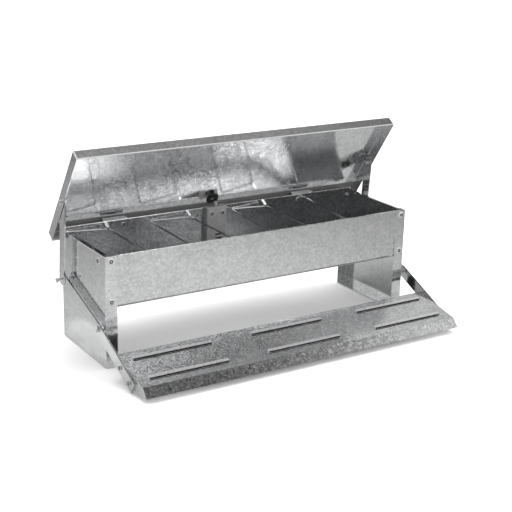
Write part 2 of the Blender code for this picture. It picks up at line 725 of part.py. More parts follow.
def bead_mesh(name, base):
    """A long raised bead with round ends, with its foot at the given level."""
    half_run = (BEAD_LENGTH - BEAD_WIDTH) / 2
    radius = BEAD_WIDTH / 2
    bm = bmesh.new()
    levels = [bead_ring(bm, half_run, radius, base)]
    for width, height in BEAD_PROFILE_SHARES:
        levels.append(bead_ring(bm, half_run, radius * width, height * BEAD_HEIGHT))
    for lower, upper in zip(levels, levels[1:]):
        for i in range(len(lower)):
            j = (i + 1) % len(lower)
            bm.faces.new((lower[i], lower[j], upper[j], upper[i]))
    bm.faces.new(levels[-1])
    bm.faces.new(reversed(levels[0]))
    return mesh_from(bm, name)


def build_treadle_plate(treadle_frame):
    """The treadle: a plate with side flanges, a turned down rear edge, a front lip and grip beads."""
    slope_frame = frame_empty("treadle_plate_frame", (0, *PLATE_REAR), treadle_frame, (PLATE_SLOPE, 0, 0))
    half = PLATE_HALF_WIDTH
    lip = turned((-PLATE_LIP, 0), PLATE_LIP_BEND)
    bm = bmesh.new()

    def edge_pair(y, z):
        return [bm.verts.new((x, y, z)) for x in (-half, half)]

    rear, bend = edge_pair(0, 0), edge_pair(-PLATE_DEPTH, 0)
    tail, tip = edge_pair(0, -PLATE_REAR_FLANGE), edge_pair(-PLATE_DEPTH + lip[0], lip[1])
    for upper, lower in ((rear, bend), (tail, rear), (bend, tip)):
        bm.faces.new((upper[0], lower[0], lower[1], upper[1]))
    for i, sign in ((0, -1), (1, 1)):
        low_rear = bm.verts.new((sign * half, 0, -PLATE_SIDE_FLANGE))
        low_front = bm.verts.new((sign * half, -PLATE_DEPTH, -PLATE_SIDE_FLANGE))
        bm.faces.new((rear[i], low_rear, low_front, tip[i], bend[i]))
    bmesh.ops.recalc_face_normals(bm, faces=bm.faces)
    bm.normal_update()
    if max(bm.faces, key=lambda f: f.calc_area()).normal.z < 0:
        bmesh.ops.reverse_faces(bm, faces=bm.faces)
    mesh = bpy.data.meshes.new("treadle_plate")
    bm.to_mesh(mesh)
    bm.free()
    plate = place("treadle_plate", mesh, slope_frame, ZINC, 0.34)
    solidify(plate, PLATE_SHEET, -1)
    for row, set_in in enumerate(BEAD_ROW_SETS):
        for column in range(BEAD_COLUMNS):
            x = BEAD_PITCH * (column - (BEAD_COLUMNS - 1) / 2)
            spot = (x, set_in - PLATE_DEPTH, 0)
            name = f"bead_{row}_{column}"
            outer = bead_mesh(name, -PLATE_SHEET / 2)
            boolean(plate, cutter(name, outer, slope_frame, spot), "UNION")
            reach, face = BEAD_LENGTH / 2 - BEAD_SLOT_SET_IN, BEAD_WIDTH / 2
            slot = box_mesh(name + "_slot", (-reach, -face - OVERRUN, BEAD_SILL),
                            (reach, BEAD_SLOT_DEPTH - face, BEAD_HEIGHT - PLATE_SHEET))
            boolean(plate, cutter(name + "_slot", slot, slope_frame, spot))
    for side in (-1, 1):
        for number, (y, z) in enumerate(arm_rivet_places()):
            drill(plate, f"plate_hole_{side}_{number}", (side * half, y, z), RIVET_RADIUS + BORE_GAP,
                  BAR_WIDTH / 2, ALONG_X, treadle_frame)
    return plate


def build_link(side, link_frame):
    """A flat link with round ends, hung from the lid and lying along local Z."""
    half = BAR_WIDTH / 2
    outline = arc((0, -LINK_LENGTH), half, -math.pi, 0, END_SEGMENTS)
    outline += arc((0, 0), half, 0, math.pi, END_SEGMENTS)
    hole = LINK_BOLT_RADIUS + BORE_GAP
    x = side * (LINK_INNER + LINK_SHEET / 2)
    return flat_piece("link_" + ("left" if side < 0 else "right"),
                      [outline, circle((0, 0), hole), circle((0, -LINK_LENGTH), hole)],
                      LINK_SHEET, link_frame, (x, 0, 0), SIDE_VIEW, ZINC, 0.3)


def bolt(name, parent, location, rotation, radius, flats, head, length, colour=ZINC_BRIGHT):
    """A hexagon bolt: the head's underside at the origin, the shank down local Z."""
    corner = flats / 2 / math.cos(math.pi / HEX_SIDES)
    piece = place(name, rod_mesh(name, corner, 0, head, HEX_SIDES), parent, colour, 0.25, 1.0,
                  location, rotation)
    shank = cutter(name + "_shank", rod_mesh(name, radius, -length, OVERRUN / 2, SMALL_SIDES), parent,
                   location, rotation)
    boolean(piece, shank, "UNION")
    return piece


def nut(name, parent, location, rotation, flats, height, bore_radius):
    """A hexagon nut with its seat at the origin, its body down local Z."""
    corner = flats / 2 / math.cos(math.pi / HEX_SIDES)
    piece = place(name, rod_mesh(name, corner, -height, 0, HEX_SIDES), parent, ZINC_BRIGHT, 0.25, 1.0,
                  location, rotation)
    drill(piece, name + "_bore", Vector(location), bore_radius + BORE_GAP, 3 * height, rotation, parent)
    return piece


def build_pivots(side, body, treadle_frame, panel):
    """The bolt that a treadle arm turns on, with its spacer tube and its nut inside the panel."""
    word = "left" if side < 0 else "right"
    facing = face_side(side)
    spot = (PIVOT.y, PIVOT.z)
    drill(panel, f"pivot_hole_{word}", (side * PANEL_FACE, *spot), PIVOT_BOLT_RADIUS + BORE_GAP,
          BAR_WIDTH / 2, ALONG_X, body)
    seat = ARM_OUTER + GAP
    nut_seat = PANEL_FACE - PANEL_SHEET - GAP
    length = seat - (nut_seat - PIVOT_NUT) + BOLT_TAIL
    bolt(f"pivot_bolt_{word}", body, (side * seat, *spot), facing, PIVOT_BOLT_RADIUS,
         PIVOT_HEAD_FLATS, PIVOT_HEAD, length)
    nut(f"pivot_nut_{word}", body, (side * nut_seat, *spot), facing, PIVOT_HEAD_FLATS, PIVOT_NUT,
        PIVOT_BOLT_RADIUS)
    name = f"pivot_spacer_{word}"
    spacer = place(name, rod_mesh(name, SPACER_RADIUS, 0, SPACER_LENGTH), body, ZINC_BRIGHT, 0.18, 1.0,
                   (side * (PANEL_FACE + GAP), *spot), facing)
    drill(spacer, name + "_bore", (side * (PANEL_FACE + SPACER_LENGTH / 2), *spot),
          PIVOT_BOLT_RADIUS + BORE_GAP, 2 * SPACER_LENGTH, facing, body)


def build_link_fasteners(side, lid_frame, link_frame, treadle_frame):
    """The link's upper bolt and nut on the lid, and the lower bolt with the nut on the arm's end.

    The lower pivot is the loop's open one: its bolt ends inside the link, and the nut behind the arm
    carries the stub that fills the arm's own hole.
    """
    word = "left" if side < 0 else "right"
    facing = face_side(side)
    seat = LID_HALF_WIDTH + GAP
    nut_seat = LINK_INNER - GAP
    length = seat - (nut_seat - LINK_NUT) + BOLT_TAIL
    bolt(f"lid_bolt_{word}", lid_frame, (side * seat, *LINK_PIN_LOCAL), facing, LINK_BOLT_RADIUS,
         LINK_HEAD_FLATS, LINK_HEAD, length)
    nut(f"lid_nut_{word}", lid_frame, (side * nut_seat, *LINK_PIN_LOCAL), facing, LINK_HEAD_FLATS,
        LINK_NUT, LINK_BOLT_RADIUS)
    seat = LINK_OUTER + LINK_BOLT_STANDOFF
    bolt(f"link_bolt_{word}", link_frame, (side * seat, 0, -LINK_LENGTH), facing, LINK_BOLT_RADIUS,
         LINK_HEAD_FLATS, LINK_HEAD, seat - LINK_INNER)
    behind = Euler((0, -side * math.pi / 2, 0))
    bolt(f"arm_nut_{word}", treadle_frame, (side * (ARM_INNER - GAP), *ARM_END), behind,
         LINK_BOLT_RADIUS, LINK_HEAD_FLATS, LINK_NUT, ARM_SHEET)


def build_damper(body, plunger_frame, lid_frame, trough):
    """The soft closing damper: housing, cylinder and plunger on the wall, rubber pad on the lid."""
    plunger_y = HINGE_Y - PLUNGER_AHEAD
    face = plunger_y - CYLINDER_RADIUS - GAP - DAMPER_SHEET
    top = REAR_WALL_TOP + GAP + DAMPER_SHEET
    middle, half = REAR_FITTINGS_SHIFT, DAMPER_WIDTH / 2
    wall = REAR_CENTRE - TROUGH_SHEET / 2
    low = Vector((middle - half, face, top - DAMPER_HEIGHT))
    high = Vector((middle + half, face + DAMPER_TOP_LENGTH, top))
    bm = bmesh.new()
    bmesh.ops.create_cube(bm, size=1)
    bmesh.ops.scale(bm, vec=high - low, verts=bm.verts)
    bmesh.ops.translate(bm, vec=(low + high) / 2, verts=bm.verts)
    bm.normal_update()
    bmesh.ops.delete(bm, geom=[f for f in bm.faces if f.normal.z < -0.5 or f.normal.y > 0.5],
                     context="FACES")
    mesh = bpy.data.meshes.new("damper_housing")
    bm.to_mesh(mesh)
    bm.free()
    housing = place("damper_housing", mesh, body, ZINC, 0.4)
    solidify(housing, DAMPER_SHEET, -1)
    left, right = low.x - OVERRUN, high.x + OVERRUN
    cut_box(housing, "housing_wall_cut", (left, wall - GAP, low.z - OVERRUN),
            (right, high.y + OVERRUN, REAR_WALL_TOP + GAP), body)
    hem_front = REAR_CENTRE - HEM_THROW - TROUGH_SHEET / 2 - GAP
    hem_foot = REAR_WALL_TOP - HEM_LENGTH - TROUGH_SHEET / 2 - HEM_FOLD_RADIUS - GAP
    cut_box(housing, "housing_hem_cut", (left, hem_front, hem_foot),
            (right, wall + OVERRUN, REAR_WALL_TOP + GAP), body)
    hole = cutter("housing_top_hole", rod_mesh("housing_top_hole", PLUNGER_HOLE_RADIUS, -OVERRUN, OVERRUN),
                  body, (middle, plunger_y, top))
    hole.scale.x = PLUNGER_HOLE_STRETCH
    boolean(housing, hole)
    for row in (0, 1):
        z = top - DAMPER_SLOT_DROP - DAMPER_SLOT_PITCH * row
        x = middle + DAMPER_SLOT_SHIFT
        cut_box(housing, f"housing_slot_{row}",
                (x - DAMPER_SLOT_LENGTH / 2, face - OVERRUN, z - DAMPER_SLOT_WIDTH / 2),
                (x + DAMPER_SLOT_LENGTH / 2, face + OVERRUN, z + DAMPER_SLOT_WIDTH / 2), body)
    rivet_grip = REAR_CENTRE + TROUGH_SHEET / 2 - face
    for side, word in ((-1, "left"), (1, "right")):
        spot = (middle + side * DAMPER_RIVET_SPREAD, face, top - DAMPER_RIVET_DROP)
        drill(housing, f"housing_hole_{word}", spot, RIVET_RADIUS + BORE_GAP, 2 * DAMPER_SHEET + OVERRUN,
              ALONG_Y, body)
        drill(trough, f"wall_damper_hole_{word}", (spot[0], REAR_CENTRE, spot[2]),
              RIVET_RADIUS + BORE_GAP, BAR_WIDTH / 2, ALONG_Y, body)
        rivet(f"damper_rivet_{word}", body, spot, FACE_FRONT, rivet_grip)

    cylinder_top = top - CYLINDER_TOP_DROP
    bore = PLUNGER_RADIUS + BORE_GAP
    profile = [(bore, 0), (CYLINDER_RADIUS, 0), (CYLINDER_RADIUS, -CYLINDER_LENGTH),
               (0, -CYLINDER_LENGTH)]
    profile = [(0, CYLINDER_FLOOR - CYLINDER_LENGTH), (bore, CYLINDER_FLOOR - CYLINDER_LENGTH)] + profile
    turned_piece("damper_cylinder", profile, body, (middle, plunger_y, cylinder_top), ALONG_Z,
                 ZINC_DARK, 0.3, sides=ROUND_SIDES)
    cap_seat = CAP_TOP_RISE - CAP_HEIGHT - GAP
    rod = [(0, cap_seat), (PLUNGER_COLLAR_RADIUS, cap_seat),
           (PLUNGER_RADIUS, cap_seat - PLUNGER_COLLAR), (PLUNGER_RADIUS, cap_seat - PLUNGER_LENGTH),
           (0, cap_seat - PLUNGER_LENGTH)]
    turned_piece("damper_plunger", rod, plunger_frame, (0, 0, 0), ALONG_Z, PLASTIC_WHITE, 0.45, 0.0,
                 ROUND_SIDES)
    base = CAP_TOP_RISE - CAP_HEIGHT
    dome = arc((0, CAP_TOP_RISE - CAP_RADIUS), CAP_RADIUS, math.pi / 2, 0, BEND_SEGMENTS)
    turned_piece("damper_cap", [(max(r, 0), z) for r, z in dome] + [(CAP_RADIUS, base), (0, base)],
                 plunger_frame, (0, 0, 0), ALONG_Z, RUBBER_BLACK, 0.55, 0.0, ROUND_SIDES)

    seat = LID_UNDERSIDE - GAP
    pad = [(BUMPER_BORE_RADIUS, 0), (BUMPER_RADIUS, 0), (BUMPER_RADIUS, -BUMPER_THICKNESS / 2),
           (BUMPER_RADIUS - BUMPER_THICKNESS / 2, -BUMPER_THICKNESS),
           (BUMPER_BORE_RADIUS, -BUMPER_THICKNESS), (BUMPER_BORE_RADIUS, 0)]
    turned_piece("lid_bumper", pad, lid_frame, (middle, -PLUNGER_AHEAD, seat), ALONG_Z, RUBBER_BLACK, 0.6,
                 0.0, ROUND_SIDES)
    disc = [(0, 0), (BUMPER_DISC_RADIUS, 0), (BUMPER_DISC_RADIUS, -BUMPER_DISC), (0, -BUMPER_DISC)]
    turned_piece("bumper_disc", disc, lid_frame, (middle, -PLUNGER_AHEAD, seat), ALONG_Z, ZINC_DARK, 0.35)


def build_feeder():
    body = frame_empty("feeder_frame", (0, ORIGIN_SHIFT, 0))
    hinge_frame = frame_empty("hinge_frame", HINGE, body)
    lid_frame = frame_empty("lid_frame", HINGE, body, (-LID_OPEN_ANGLE, 0, 0))
    treadle_frame = frame_empty("treadle_frame", PIVOT, body)
    plunger_frame = frame_empty("plunger_frame",
                                (REAR_FITTINGS_SHIFT, HINGE_Y - PLUNGER_AHEAD, HINGE_Z), body)

    panels = {side: build_end_panel(side, body) for side in (-1, 1)}
    trough = build_trough(body)
    build_grille(body)
    lid = build_lid(lid_frame)
    build_hinges(hinge_frame, lid_frame)
    build_panel_rivets(body, panels, trough)
    build_side_rivets(body, panels)
    build_hinge_rivets(body, lid_frame, trough, lid)
    build_treadle_plate(treadle_frame)
    for side in (-1, 1):
        link_frame = frame_empty(f"link_frame_{side}", LINK_TOP, body, (LINK_LEAN, 0, 0))
        build_arm(side, treadle_frame)
        build_link(side, link_frame)
        build_pivots(side, body, treadle_frame, panels[side])
        build_link_fasteners(side, lid_frame, link_frame, treadle_frame)
    build_damper(body, plunger_frame, lid_frame, trough)


build_feeder()
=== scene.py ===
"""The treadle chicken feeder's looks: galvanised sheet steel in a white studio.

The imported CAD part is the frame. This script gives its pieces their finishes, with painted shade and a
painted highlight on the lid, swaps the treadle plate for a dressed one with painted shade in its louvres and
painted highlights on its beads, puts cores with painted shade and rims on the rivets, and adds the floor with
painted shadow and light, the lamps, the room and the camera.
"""
import json
import math

import bmesh
import bpy
from mathutils import Matrix, Vector
from mathutils.bvhtree import BVHTree

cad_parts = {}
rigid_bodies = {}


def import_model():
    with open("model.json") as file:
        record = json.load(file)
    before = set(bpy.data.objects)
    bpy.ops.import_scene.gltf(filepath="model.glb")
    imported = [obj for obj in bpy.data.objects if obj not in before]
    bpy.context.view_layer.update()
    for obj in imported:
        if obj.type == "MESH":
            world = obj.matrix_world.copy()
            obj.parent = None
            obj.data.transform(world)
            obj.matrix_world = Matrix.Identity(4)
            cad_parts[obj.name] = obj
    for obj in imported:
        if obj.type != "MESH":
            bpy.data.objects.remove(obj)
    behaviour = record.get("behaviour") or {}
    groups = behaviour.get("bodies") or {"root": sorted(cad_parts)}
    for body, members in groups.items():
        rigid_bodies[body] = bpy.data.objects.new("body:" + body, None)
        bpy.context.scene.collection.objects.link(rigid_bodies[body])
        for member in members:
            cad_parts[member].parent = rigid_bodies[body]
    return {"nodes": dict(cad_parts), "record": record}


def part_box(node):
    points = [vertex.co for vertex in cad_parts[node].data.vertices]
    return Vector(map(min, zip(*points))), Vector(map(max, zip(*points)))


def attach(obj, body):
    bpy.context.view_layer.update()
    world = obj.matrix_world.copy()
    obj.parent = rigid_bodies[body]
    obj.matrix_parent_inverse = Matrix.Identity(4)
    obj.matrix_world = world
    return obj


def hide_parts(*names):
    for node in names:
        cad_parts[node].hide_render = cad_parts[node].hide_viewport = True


# Creases sharper than this stay sharp
SHEET_CREASE = math.radians(35)
RIM_CREASE = math.radians(60)

# The louvres' slots are found by short rays from their faces and get painted shade; the beads are found by
# their rise over the plate and get a painted highlight
SLOT_PROBE = 0.0002
SLOT_REACH = 0.0034
BEAD_RISE = 0.0008
LOOKS_UP = 0.9

# Blind rivets' hollow cores: a flat disc with painted shade for the hollow, and the pin's end in it
CORE_RADIUS = 0.0031
CORE_PIN_RADIUS = 0.0014
CORE_LIFT = 0.00012
CORE_SIDES = 20

# Rivets' rims: a low cone on the sheet round the head, with a shoulder half way
RIM_RADIUS = 0.0059
RIM_INNER = 0.0036
RIM_RISE = 0.0010
RIM_SHOULDER_SHARE = 0.8
RIM_SIDES = 24
RIMMED_RIVETS = ("front_rivet", "rear_rivet", "side_rivet")

# The mix node keeps a pair of inputs for each type, and the vector node some operations that give a value
MIX_VALUES = (2, 3)
MIX_COLOURS = (6, 7)
MIX_COLOUR_OUT = 2
VALUE_OPERATIONS = ("DISTANCE", "DOT_PRODUCT", "LENGTH")

# Zinc's colour: how much more green and blue it has than red
ZINC_GREEN = 0.005
ZINC_BLUE = 0.010

# Zinc crystals: their size, the noises' sizes as shares of it, and how much each noise counts
CRYSTAL_SIZE = 0.0035
FEATHER_SIZE_SHARE = 0.9
FEATHER_PUSH_SHARE = 1.1
FINE_SIZE_SHARE = 0.45
FINE_GREY_SHARE = 0.45
FINE_GLOSS_SHARE = 0.35
CLOUD_SHARE = 0.40
CLOUD_SIZE = 0.045
CLOUD_ROUGHNESS = 0.6
WAVE_SIZE = 0.10
GREY_SPREAD = (0.30, 0.70)
GLOSS_SPREAD = (0.15, 0.85)
NOISE_DETAIL = 3.0
NOISE_ROUGHNESS = 0.55

# Small parts' finish: its grain, its broader sheen and its skin
GRAIN_SIZE = 0.0012
GRAIN_SPREAD = (0.35, 0.65)
SHEEN_SIZE = 3 * GRAIN_SIZE
SHEEN_SPREAD = (0.25, 0.75)
SKIN_LIFT = 0.00002
SKIN_STRENGTH = 0.5

# The treadle's crystals lie flatter to the right: where that starts and ends, and the share left
TREADLE_CALM = (-0.16, 0.16)
TREADLE_CALM_SHARE = 0.30

# The lid: the top of its painted shade band beside the hinges, the way its inside faces, and a painted
# highlight along the hem of its lip
SHADE_BAND_TOP = 0.1985
SHADE_BAND_COLOUR = 0.34
LID_INWARD = (0.0, -1.08, -0.73)
HEM_CENTRE = (0.0, 0.0475, 0.3308)
HEM_REACH = (10.0, 0.0020, 0.0020)
HEM_RIM = (0.8, 1.2)
HEM_HIGHLIGHT_COLOUR = 0.98
MATT_ROUGHNESS = 0.5
MATT_METAL = 0.30

# The floor: what it gives back to the camera, and to the metal a painted fall-off of light by the distance
# from its centre
FLOOR_SIZE = 6
FLOOR_DROP = 0.0005
FLOOR_FOR_CAMERA = 2.4
FLOOR_CENTRE = (-0.15, -0.15, 0.0)
FLOOR_PAINTED_FALLOFF = ((0.0, 1.05), (0.30, 1.02), (0.86, 0.56), (1.5, 0.52), (2.0, 0.16))

# Two patches of the floor that the metal sees: painted shadow under the treadle and painted light by the left
# panel's foot; centre, reach and level
FLOOR_PAINTED_PATCHES = (
    ((0.0, -0.10, 0.0), (0.31, 0.075, 1.0), 0.15),
    ((-0.345, 0.10, 0.0), (0.05, 0.11, 1.0), 1.4),
)
FLOOR_PAINTED_PATCH_RIM = (0.7, 1.2)

# Painted shadow: the grey floor that the camera sees below the trough, painted darker over the shadow that
# the lamps cast there
FLOOR_PAINTED_SHADOW = 1.40
FLOOR_PAINTED_SHADOW_CENTRE = (-0.05, 0.0, 0.0)
FLOOR_PAINTED_SHADOW_REACH = (0.44, 0.17, 1.0)
FLOOR_PAINTED_SHADOW_RIM = (0.45, 1.25)

# The room's light by height, as the upward part of a unit direction, and its left side
ROOM_LEVELS = ((0.0, 1.05), (0.40, 1.0), (0.54, 0.55), (0.62, 0.58), (0.65, 0.88), (0.675, 0.88),
               (0.70, 0.18), (0.78, 0.17), (0.82, 0.30), (0.87, 0.30), (0.93, 0.28), (0.97, 0.90))
LEFT_EDGE = (-0.48, -0.38)
LEFT_LEVEL = 0.72

# The front of the room by its bearing, as the tangent of the angle from straight ahead to the right
SIDE_LEVELS = ((-1.2, 0.50), (-0.6, 0.45), (-0.3, 0.8), (0.0, 1.0), (0.20, 1.35), (0.46, 1.35), (0.50, 0.55),
               (0.58, 0.55), (0.62, 4.0), (0.675, 4.0), (0.70, 0.9), (0.75, 0.35), (0.85, 0.20), (0.96, 0.52),
               (1.04, 0.80), (1.12, 1.0))
SIDE_EDGE = (-0.30, -0.12)

# Lamps: place, aim, width and depth, watts, and whether the metal mirrors them
LAMPS = {
    "key_top": ((0.0, -0.40, 1.9), (0.0, 0.0, 0.1), (2.4, 2.0), 10, False),
    "soft_box_left": ((0.40, -0.15, 1.92), (-0.2, 0.07, 0.1), (0.12, 0.46), 1.05, True),
    "soft_box_right": ((1.20, -0.12, 1.76), (0.23, 0.08, 0.1), (0.14, 0.20), 0.34, True),
}

# The photo's camera, from a fit to its edges. Its place is counted from the end panels' front
CAMERA_YAW = math.radians(32.79)
CAMERA_PITCH = math.radians(17.92)
CAMERA_ROLL = math.radians(1.51)
CAMERA_PLACE = Vector((-1.0370, -1.5778, 0.7548))
CAMERA_FOCAL_PIXELS = 1170.3
PHOTO_WIDTH_PIXELS = 512
SENSOR_WIDTH = 36
CLIP_NEAR = 0.05
CLIP_FAR = 50


def write_bounds():
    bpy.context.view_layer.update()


def clear_scene():
    for old in list(bpy.data.objects):
        bpy.data.objects.remove(old, do_unlink=True)


clear_scene()
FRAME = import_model()
NODES = FRAME["nodes"]
BODY_OF = {name: body for body, names in FRAME["record"]["behaviour"]["bodies"].items() for name in names}
write_bounds()


def grey(level):
    return (level, level, level)


def zinc(level):
    """Zinc's faintly blue grey."""
    return (level, level + ZINC_GREEN, level + ZINC_BLUE)


# Shader nodes
def node(tree, kind, **values):
    made = tree.nodes.new(kind)
    for key, value in values.items():
        setattr(made, key, value)
    return made


def feed(tree, socket, value):
    """Gives an input its value: another node's output, or a constant."""
    if isinstance(value, bpy.types.NodeSocket):
        tree.links.new(value, socket)
    else:
        socket.default_value = value


def value_math(tree, operation, first, second, clamp=False):
    made = node(tree, "ShaderNodeMath", operation=operation, use_clamp=clamp)
    feed(tree, made.inputs[0], first)
    feed(tree, made.inputs[1], second)
    return made.outputs[0]


def vector_math(tree, operation, first, second=None):
    made = node(tree, "ShaderNodeVectorMath", operation=operation)
    feed(tree, made.inputs[0], first)
    if second is not None:
        feed(tree, made.inputs["Scale" if operation == "SCALE" else 1], second)
    return made.outputs["Value" if operation in VALUE_OPERATIONS else "Vector"]


def map_range(tree, value, source, target, interpolation="LINEAR"):
    """The value moved from the source range to the target range, and held inside it."""
    made = node(tree, "ShaderNodeMapRange", interpolation_type=interpolation)
    feed(tree, made.inputs["Value"], value)
    made.inputs["From Min"].default_value, made.inputs["From Max"].default_value = source
    made.inputs["To Min"].default_value, made.inputs["To Max"].default_value = target
    return made.outputs["Result"]


def axis_of(tree, where, axis):
    parts = node(tree, "ShaderNodeSeparateXYZ")
    feed(tree, parts.inputs[0], where)
    return parts.outputs[axis]


def noise(tree, where, size, detail=NOISE_DETAIL, rough=NOISE_ROUGHNESS):
    """A noise whose features are about size metres across."""
    made = node(tree, "ShaderNodeTexNoise")
    made.inputs["Scale"].default_value = 1 / size
    made.inputs["Detail"].default_value = detail
    made.inputs["Roughness"].default_value = rough
    feed(tree, made.inputs["Vector"], where)
    return made


def blend_values(tree, share, first, second):
    made = node(tree, "ShaderNodeMix", data_type="FLOAT")
    feed(tree, made.inputs[0], share)
    for spot, value in zip(MIX_VALUES, (first, second)):
        feed(tree, made.inputs[spot], value)
    return made.outputs[0]


def blend_colours(tree, share, first, second):
    """A colour mix by a share; each side is a socket or a plain grey."""
    made = node(tree, "ShaderNodeMix", data_type="RGBA")
    feed(tree, made.inputs[0], share)
    for spot, value in zip(MIX_COLOURS, (first, second)):
        feed(tree, made.inputs[spot], (*grey(value), 1) if isinstance(value, float) else value)
    return made.outputs[MIX_COLOUR_OUT]


def colour_ramp(tree, value, spread, dark, light):
    """A colour that goes from dark to light while the value crosses the spread."""
    ramp = node(tree, "ShaderNodeValToRGB")
    for stop, place, colour in zip(ramp.color_ramp.elements, spread, (dark, light)):
        stop.position = place
        stop.color = (*colour, 1)
    feed(tree, ramp.inputs["Fac"], value)
    return ramp.outputs["Color"]


def level_ramp(tree, value, levels):
    """A grey colour that follows levels, pairs of a value and a brightness."""
    top = max(level for place, level in levels)
    start, end = levels[0][0], levels[-1][0]
    ramp = node(tree, "ShaderNodeValToRGB")
    stops = ramp.color_ramp.elements
    for stop, (place, level) in zip([stops[0], stops[1]], (levels[0], levels[-1])):
        stop.color = (*grey(level / top), 1)
    for place, level in levels[1:-1]:
        stop = stops.new((place - start) / (end - start))
        stop.color = (*grey(level / top), 1)
    feed(tree, ramp.inputs["Fac"], map_range(tree, value, (start, end), (0, 1)))
    return vector_math(tree, "SCALE", ramp.outputs["Color"], top)


def soft_lump(tree, where, centre, reach, rim):
    """A share that is 1 inside an ellipsoid and fades to 0 over its rim."""
    offset = vector_math(tree, "SUBTRACT", where, centre)
    away = vector_math(tree, "LENGTH", vector_math(tree, "DIVIDE", offset, reach))
    return map_range(tree, away, rim, (1, 0), "SMOOTHSTEP")


def tilt(tree, colour, strength):
    """A random vector in place of a colour, each part between plus and minus half the strength."""
    return vector_math(tree, "SCALE", vector_math(tree, "SUBTRACT", colour, grey(0.5)), strength)


def calmer(tree, where, vector):
    """A vector that dies down to the right along the treadle."""
    share = map_range(tree, axis_of(tree, where, "X"), TREADLE_CALM, (1, TREADLE_CALM_SHARE))
    return vector_math(tree, "SCALE", vector, share)


# Finishes
def new_material(name, colour, roughness, metallic):
    material = bpy.data.materials.new(name)
    material.use_nodes = True
    shader = material.node_tree.nodes["Principled BSDF"]
    shader.inputs["Base Color"].default_value = (*colour, 1)
    shader.inputs["Roughness"].default_value = roughness
    shader.inputs["Metallic"].default_value = metallic
    return material


def galvanised(name, dark, light, rough, crystal_tilt, wave_tilt, cell=CRYSTAL_SIZE, metallic=1.0,
               calm=False):
    """Zinc coated sheet. Small crystals differ in grey, gloss and lie, under broad soft clouds."""
    material = new_material(name, light, rough[0], metallic)
    tree = material.node_tree
    shader = tree.nodes["Principled BSDF"]
    where = node(tree, "ShaderNodeTexCoord").outputs["Object"]

    feather = noise(tree, where, cell * FEATHER_SIZE_SHARE, 2.0).outputs["Color"]
    crystals = node(tree, "ShaderNodeTexVoronoi", feature="F1")
    crystals.inputs["Scale"].default_value = 1 / cell
    bent = vector_math(tree, "ADD", where, tilt(tree, feather, cell * FEATHER_PUSH_SHARE))
    feed(tree, crystals.inputs["Vector"], bent)
    parts = node(tree, "ShaderNodeSeparateColor")
    feed(tree, parts.inputs["Color"], crystals.outputs["Color"])
    fine = noise(tree, where, cell * FINE_SIZE_SHARE).outputs["Fac"]
    clouds = noise(tree, where, CLOUD_SIZE, 4.0, CLOUD_ROUGHNESS).outputs["Fac"]

    mottle = blend_values(tree, FINE_GREY_SHARE, parts.outputs[0], fine)
    mottle = blend_values(tree, CLOUD_SHARE, mottle, clouds)
    feed(tree, shader.inputs["Base Color"], colour_ramp(tree, mottle, GREY_SPREAD, dark, light))

    gloss = blend_values(tree, FINE_GLOSS_SHARE, parts.outputs[1], fine)
    feed(tree, shader.inputs["Roughness"], map_range(tree, gloss, GLOSS_SPREAD, rough))

    crystal_lie = tilt(tree, crystals.outputs["Color"], crystal_tilt)
    wave_lie = tilt(tree, noise(tree, where, WAVE_SIZE, 1.0).outputs["Color"], wave_tilt)
    lie = vector_math(tree, "ADD", crystal_lie, wave_lie)
    if calm:
        lie = calmer(tree, where, lie)
    normal = vector_math(tree, "ADD", node(tree, "ShaderNodeNewGeometry").outputs["Normal"], lie)
    feed(tree, shader.inputs["Normal"], vector_math(tree, "NORMALIZE", normal))
    return material


def plain(name, dark, light, rough, metallic):
    """A small part's finish: a fine uneven grey, gloss and skin."""
    material = new_material(name, light, rough[0], metallic)
    tree = material.node_tree
    shader = tree.nodes["Principled BSDF"]
    where = node(tree, "ShaderNodeTexCoord").outputs["Object"]
    fine = noise(tree, where, GRAIN_SIZE).outputs["Fac"]
    feed(tree, shader.inputs["Base Color"], colour_ramp(tree, fine, GRAIN_SPREAD, dark, light))
    sheen = noise(tree, where, SHEEN_SIZE, 2.0).outputs["Fac"]
    feed(tree, shader.inputs["Roughness"], map_range(tree, sheen, SHEEN_SPREAD, rough))
    skin = node(tree, "ShaderNodeBump")
    skin.inputs["Strength"].default_value = SKIN_STRENGTH
    skin.inputs["Distance"].default_value = SKIN_LIFT
    feed(tree, skin.inputs["Height"], fine)
    feed(tree, shader.inputs["Normal"], skin.outputs["Normal"])
    return material


def dress_lid(material):
    """The lid's finish: matt with a painted shade band beside the hinges inside, matt with a painted
    highlight along the lip's hem.
    """
    tree = material.node_tree
    shader = tree.nodes["Principled BSDF"]
    spots = node(tree, "ShaderNodeTexCoord")
    low = value_math(tree, "LESS_THAN", axis_of(tree, spots.outputs["Object"], "Z"), SHADE_BAND_TOP)
    facing = vector_math(tree, "DOT_PRODUCT", spots.outputs["Normal"], LID_INWARD)
    painted_shade_band = value_math(tree, "MULTIPLY", low, facing, clamp=True)
    painted_hem_highlight = soft_lump(tree, spots.outputs["Object"], HEM_CENTRE, HEM_REACH, HEM_RIM)
    matt = value_math(tree, "MAXIMUM", painted_shade_band, painted_hem_highlight)

    # Painted shade darkens the band beside the hinges, and a painted highlight pales the lip's hem
    colour = shader.inputs["Base Color"].links[0].from_socket
    colour = blend_colours(tree, painted_shade_band, colour, SHADE_BAND_COLOUR)
    feed(tree, shader.inputs["Base Color"], blend_colours(tree, painted_hem_highlight, colour, HEM_HIGHLIGHT_COLOUR))
    rough = shader.inputs["Roughness"].links[0].from_socket
    feed(tree, shader.inputs["Roughness"], blend_values(tree, matt, rough, MATT_ROUGHNESS))
    feed(tree, shader.inputs["Metallic"], map_range(tree, matt, (0, 1), (1, MATT_METAL)))


